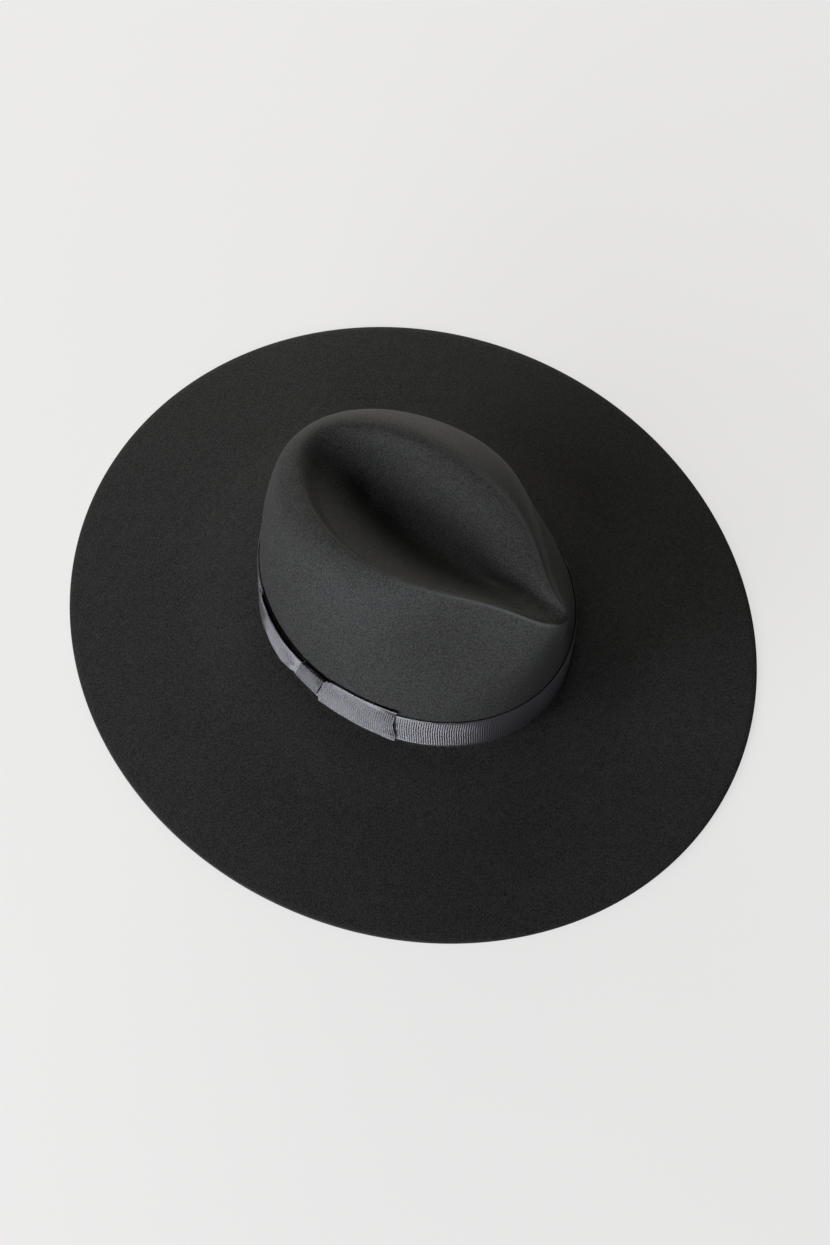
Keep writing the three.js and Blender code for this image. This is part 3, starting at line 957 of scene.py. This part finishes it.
class Hat_sizes(bpy.types.PropertyGroup):
    """Lengths of the hat that a user may change."""

    felt_thickness: bpy.props.FloatProperty(
        name="Felt thickness", description="Thickness of the felt of crown and brim", default=0.002, unit="LENGTH"
    )
    ribbon_thickness: bpy.props.FloatProperty(
        name="Ribbon thickness", description="Thickness of the band's ribbon", default=0.0007, unit="LENGTH"
    )
    rib_spacing: bpy.props.FloatProperty(
        name="Rib spacing", description="Distance from one rib to the next", default=0.00135, unit="LENGTH"
    )
    rib_depth: bpy.props.FloatProperty(
        name="Rib depth", description="Depth of the grooves between the ribs", default=0.00022, unit="LENGTH"
    )
    stitch_length: bpy.props.FloatProperty(
        name="Stitch length", description="Length of a stitch on the bow", default=0.0012, unit="LENGTH"
    )


class Hat_colours(bpy.types.PropertyGroup):
    """Colours of the hat and its stage."""

    felt_dark: bpy.props.FloatVectorProperty(
        name="Felt, dark",
        description="Colour deep in the felt",
        default=(0.0085, 0.0086, 0.0084),
        subtype="COLOR",
    )
    felt_light: bpy.props.FloatVectorProperty(
        name="Felt, light",
        description="Colour of the lighter fibres",
        default=(0.0255, 0.0255, 0.0255),
        subtype="COLOR",
    )
    # Painted highlight: the colour that the felt is lightened towards along the crown's creases.
    felt_highlight: bpy.props.FloatVectorProperty(
        name="Felt, rubbed", description="Colour along the creases", default=(0.045, 0.045, 0.044), subtype="COLOR"
    )
    nap: bpy.props.FloatVectorProperty(
        name="Nap", description="Colour of the nap seen edge-on", default=(0.55, 0.55, 0.57), subtype="COLOR"
    )
    # Painted shade: this colour darkens the ribbon between its ribs, and is also its random darker tone.
    ribbon_dark_and_groove_shade: bpy.props.FloatVectorProperty(
        name="Ribbon, dark", description="Colour between the ribs", default=(0.008, 0.008, 0.009), subtype="COLOR"
    )
    ribbon_light: bpy.props.FloatVectorProperty(
        name="Ribbon, light", description="Colour on the ribs", default=(0.024, 0.0235, 0.027), subtype="COLOR"
    )
    ribbon_gloss: bpy.props.FloatVectorProperty(
        name="Ribbon, gloss", description="Tint of the ribbon's gloss", default=(0.94, 0.92, 1.0), subtype="COLOR"
    )
    thread: bpy.props.FloatVectorProperty(
        name="Thread", description="Colour of the stitches", default=(0.02, 0.02, 0.022), subtype="COLOR"
    )
    floor: bpy.props.FloatVectorProperty(
        name="Floor", description="Colour of the floor", default=(0.14, 0.14, 0.14), subtype="COLOR"
    )
    floor_glow: bpy.props.FloatVectorProperty(
        name="Floor glow",
        description="Light that the floor gives off",
        default=(0.665, 0.66, 0.655),
        subtype="COLOR",
    )


class HAT_OT_felt(bpy.types.Operator):
    """Makes crown and brim from one piece of felt"""

    bl_idname = "hat.felt"
    bl_label = "Felt crown and brim"

    def execute(self, context):
        scene = context.scene
        points, faces, crease_highlight = felt_mesh(scene.hat_sizes.felt_thickness / MM)
        piece = make_object("felt_crown_and_brim", points, faces, finish(felt_finish, scene.hat_colours))
        point_values(piece, "crease_highlight", crease_highlight)
        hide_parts("felt_body")
        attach(piece, "root")
        return {"FINISHED"}


class HAT_OT_band(bpy.types.Operator):
    """Makes the ribbed ribbon round the foot of the crown"""

    bl_idname = "hat.band"
    bl_label = "Ribbon band"

    def execute(self, context):
        scene = context.scene
        piece = add_ribs(band_loop(scene.hat_sizes), scene, "ribbon_band", band_finish)
        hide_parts("hat_band")
        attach(piece, "root")
        return {"FINISHED"}


class HAT_OT_bow(bpy.types.Operator):
    """Makes the bow's folded ribbon and the knot round its middle"""

    bl_idname = "hat.bow"
    bl_label = "Ribbon bow"

    def execute(self, context):
        scene = context.scene
        wings = add_ribs(bow_loop(scene.hat_sizes), scene, "bow_wings", bow_finish)
        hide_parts("bow_ribbon")
        knot = add_ribs(knot_loop(scene.hat_sizes), scene, "bow_knot_wrap", knot_finish)
        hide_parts("bow_knot")
        for piece in (wings, knot):
            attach(piece, "root")
        return {"FINISHED"}


class HAT_OT_stitches(bpy.types.Operator):
    """Makes the stitches that tack the bow to the band"""

    bl_idname = "hat.stitches"
    bl_label = "Bow stitches"

    def execute(self, context):
        scene = context.scene
        inputs = {
            "Stitch spacing": STITCHES["spacing"] * MM,
            "Stitch length": scene.hat_sizes.stitch_length,
            "Thread thickness": STITCHES["thickness"] * MM,
            "Material": finish(thread_finish, scene.hat_colours),
        }
        piece = run_tree(stitch_path(scene.hat_sizes), stitch_tree, inputs, "bow_stitches")
        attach(piece, "root")
        return {"FINISHED"}


class HAT_OT_stage(bpy.types.Operator):
    """Makes the pale floor, the soft lights and the camera"""

    bl_idname = "hat.stage"
    bl_label = "Stage"

    def execute(self, context):
        scene = context.scene
        corners = [
            (side * FLOOR_REACH, end * FLOOR_REACH, -FLOOR_DROP)
            for side, end in ((-1, -1), (1, -1), (1, 1), (-1, 1))
        ]
        floor = make_object("floor", corners, [(0, 1, 2, 3)], finish(floor_finish, scene.hat_colours))
        for row in LIGHTS:
            place_light(scene, row)
        make_room(scene)
        scene.view_settings.view_transform = "Standard"
        place_camera(scene)
        return {"FINISHED"}


STEPS = (HAT_OT_felt, HAT_OT_band, HAT_OT_bow, HAT_OT_stitches, HAT_OT_stage)


class HAT_PT_panel(bpy.types.Panel):
    """Lists the steps that make the hat, and its sizes and colours"""

    bl_idname = "HAT_PT_panel"
    bl_label = "Felt hat"
    bl_space_type = "VIEW_3D"
    bl_region_type = "UI"
    bl_category = "Felt hat"

    def draw(self, context):
        layout = self.layout
        for group in (context.scene.hat_sizes, context.scene.hat_colours):
            for name in group.__annotations__:
                layout.prop(group, name)
        for step in STEPS:
            layout.operator(step.bl_idname)


CLASSES = (Hat_sizes, Hat_colours, *STEPS, HAT_PT_panel)


def register():
    for item in CLASSES:
        bpy.utils.register_class(item)
    bpy.types.Scene.hat_sizes = bpy.props.PointerProperty(type=Hat_sizes)
    bpy.types.Scene.hat_colours = bpy.props.PointerProperty(type=Hat_colours)


def unregister():
    del bpy.types.Scene.hat_sizes
    del bpy.types.Scene.hat_colours
    for item in reversed(CLASSES):
        bpy.utils.unregister_class(item)


def main():
    register()
    bpy.ops.hat.felt()
    bpy.ops.hat.band()
    bpy.ops.hat.bow()
    bpy.ops.hat.stitches()
    bpy.ops.hat.stage()


if __name__ == "__main__":
    main()
